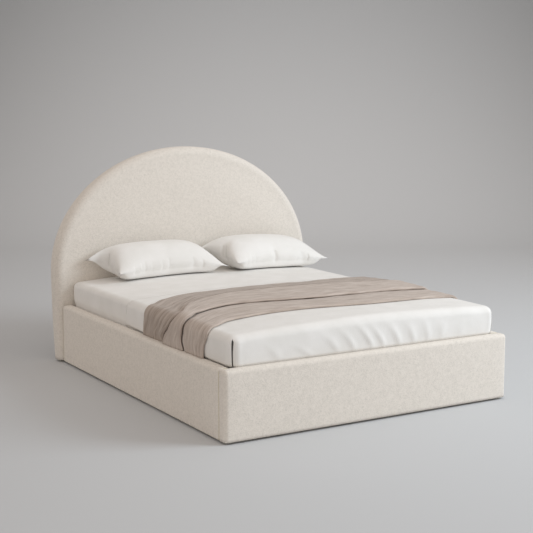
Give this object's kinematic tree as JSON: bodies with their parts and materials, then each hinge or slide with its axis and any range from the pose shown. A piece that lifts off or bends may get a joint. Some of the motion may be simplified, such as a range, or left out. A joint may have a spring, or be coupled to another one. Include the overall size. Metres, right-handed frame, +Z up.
{
  "type": "upholstered storage bed",
  "caption": "Upholstered bed with an arched headboard and padded rails, whose slatted mattress platform lifts at its foot on arms and gas struts over a storage box.",
  "frame": {"origin": "on the floor at the middle of the whole bed's footprint", "axes": "+X right as seen from the foot, +Y towards the head, +Z up"},
  "size_m": [1.82, 2.18, 1.316],
  "materials": {
    "boucle_cover": "woven cream upholstery cloth with small slubs",
    "foam": "upholstery foam",
    "timber": "plain softwood and plywood",
    "lining_cloth": "thin non-woven lining",
    "floor_board": "thin fibreboard",
    "black_steel": "black powder coat",
    "bright_steel": "zinc plated",
    "chrome_rod": "polished hard chrome",
    "black_plastic": "moulded plastic",
    "buffer_rubber": "soft rubber",
    "birch_slat": "laminated birch",
    "webbing": "flat webbing",
    "mattress_ticking": "knitted ticking",
    "white_cotton": "soft cotton with a little sheen",
    "throw_knit": "soft brushed taupe cloth"
  },
  "bodies": {
    "bed_base": {"headboard_core": "timber", "headboard_foam": "foam", "headboard_cover": "boucle_cover", "headboard_back_lining": "lining_cloth", "head_rail": "timber", "left_rail_core": "timber", "left_rail_foam": "foam", "left_rail_cover": "boucle_cover", "right_rail_core": "timber", "right_rail_foam": "foam", "right_rail_cover": "boucle_cover", "foot_rail_core": "timber", "foot_rail_foam": "foam", "foot_rail_cover": "boucle_cover", "corner_brackets": "bright_steel", "frame_screws": "bright_steel", "headboard_bolts": "bright_steel", "floor_glides": "black_plastic", "floor_ledges": "timber", "centre_batten": "timber", "floor_panel_foot": "floor_board", "floor_panel_middle": "floor_board", "floor_panel_head": "floor_board", "platform_ledges": "timber", "platform_buffers": "buffer_rubber", "left_lift_base_plate": "black_steel", "right_lift_base_plate": "black_steel", "left_lift_base_pins": "bright_steel", "right_lift_base_pins": "bright_steel"},
    "left_rear_arm": {"left_rear_arm": "black_steel"},
    "right_rear_arm": {"right_rear_arm": "black_steel"},
    "left_front_arm": {"left_front_arm": "black_steel"},
    "right_front_arm": {"right_front_arm": "black_steel"},
    "left_strut_cylinder": {"left_strut_cylinder": "black_steel"},
    "right_strut_cylinder": {"right_strut_cylinder": "black_steel"},
    "left_strut_rod": {"left_strut_rod": "chrome_rod"},
    "right_strut_rod": {"right_strut_rod": "chrome_rod"},
    "lift_platform": {"frame_left_tube": "black_steel", "frame_right_tube": "black_steel", "frame_head_tube": "black_steel", "frame_foot_tube": "black_steel", "frame_centre_tube": "black_steel", "left_slats": "birch_slat", "right_slats": "birch_slat", "slat_holders": "black_plastic", "left_lift_top_bracket": "black_steel", "right_lift_top_bracket": "black_steel", "left_lift_top_pins": "bright_steel", "right_lift_top_pins": "bright_steel", "pull_strap": "webbing", "mattress_retainers": "black_steel", "mattress": "mattress_ticking", "fitted_sheet": "white_cotton", "bedspread": "white_cotton", "throw_blanket": "throw_knit", "left_pillow": "white_cotton", "right_pillow": "white_cotton"}
  },
  "joints": [
    {"name": "left_rear_arm_hinge", "type": "hinge", "parent": "bed_base", "child": "left_rear_arm", "pos_m": [-0.8035, 0.2686, 0.1242], "axis": [1, 0, 0], "range_deg": [0, 46]},
    {"name": "platform_hinge", "type": "hinge", "parent": "left_rear_arm", "child": "lift_platform", "pos_m": [-0.8035, 0.5432, 0.235], "axis": [-1, 0, 0], "range_deg": [0, 82.01]},
    {"name": "right_rear_arm_hinge", "type": "hinge", "parent": "bed_base", "child": "right_rear_arm", "pos_m": [0.8035, 0.2686, 0.1242], "axis": [1, 0, 0], "range_deg": [0, 46]},
    {"name": "left_front_arm_hinge", "type": "hinge", "parent": "bed_base", "child": "left_front_arm", "pos_m": [-0.7965, 0.0191, 0.0719], "axis": [1, 0, 0], "range_deg": [0, 36.11]},
    {"name": "right_front_arm_hinge", "type": "hinge", "parent": "bed_base", "child": "right_front_arm", "pos_m": [0.7965, 0.0191, 0.0719], "axis": [1, 0, 0], "range_deg": [0, 36.11]},
    {"name": "left_strut_cylinder_hinge", "type": "hinge", "parent": "bed_base", "child": "left_strut_cylinder", "pos_m": [-0.773, 0.465, 0.04], "axis": [1, 0, 0], "range_deg": [0, 39.33]},
    {"name": "right_strut_cylinder_hinge", "type": "hinge", "parent": "bed_base", "child": "right_strut_cylinder", "pos_m": [0.773, 0.465, 0.04], "axis": [1, 0, 0], "range_deg": [0, 39.33]},
    {"name": "left_strut_rod_hinge", "type": "hinge", "parent": "lift_platform", "child": "left_strut_rod", "pos_m": [-0.773, 0.6, 0.244], "axis": [1, 0, 0], "range_deg": [0, 75.34]},
    {"name": "right_strut_rod_hinge", "type": "hinge", "parent": "lift_platform", "child": "right_strut_rod", "pos_m": [0.773, 0.6, 0.244], "axis": [1, 0, 0], "range_deg": [0, 75.34]}
  ],
  "couplings": [
    {"joint": "platform_hinge", "follows": "left_rear_arm_hinge", "ratio": 1.7826},
    {"joint": "right_rear_arm_hinge", "follows": "left_rear_arm_hinge", "ratio": 1},
    {"joint": "left_front_arm_hinge", "follows": "left_rear_arm_hinge", "ratio": 0.785},
    {"joint": "right_front_arm_hinge", "follows": "left_rear_arm_hinge", "ratio": 0.785},
    {"joint": "left_strut_cylinder_hinge", "follows": "left_rear_arm_hinge", "ratio": 0.855},
    {"joint": "right_strut_cylinder_hinge", "follows": "left_rear_arm_hinge", "ratio": 0.855},
    {"joint": "left_strut_rod_hinge", "follows": "left_rear_arm_hinge", "ratio": 1.6376},
    {"joint": "right_strut_rod_hinge", "follows": "left_rear_arm_hinge", "ratio": 1.6376}
  ]
}
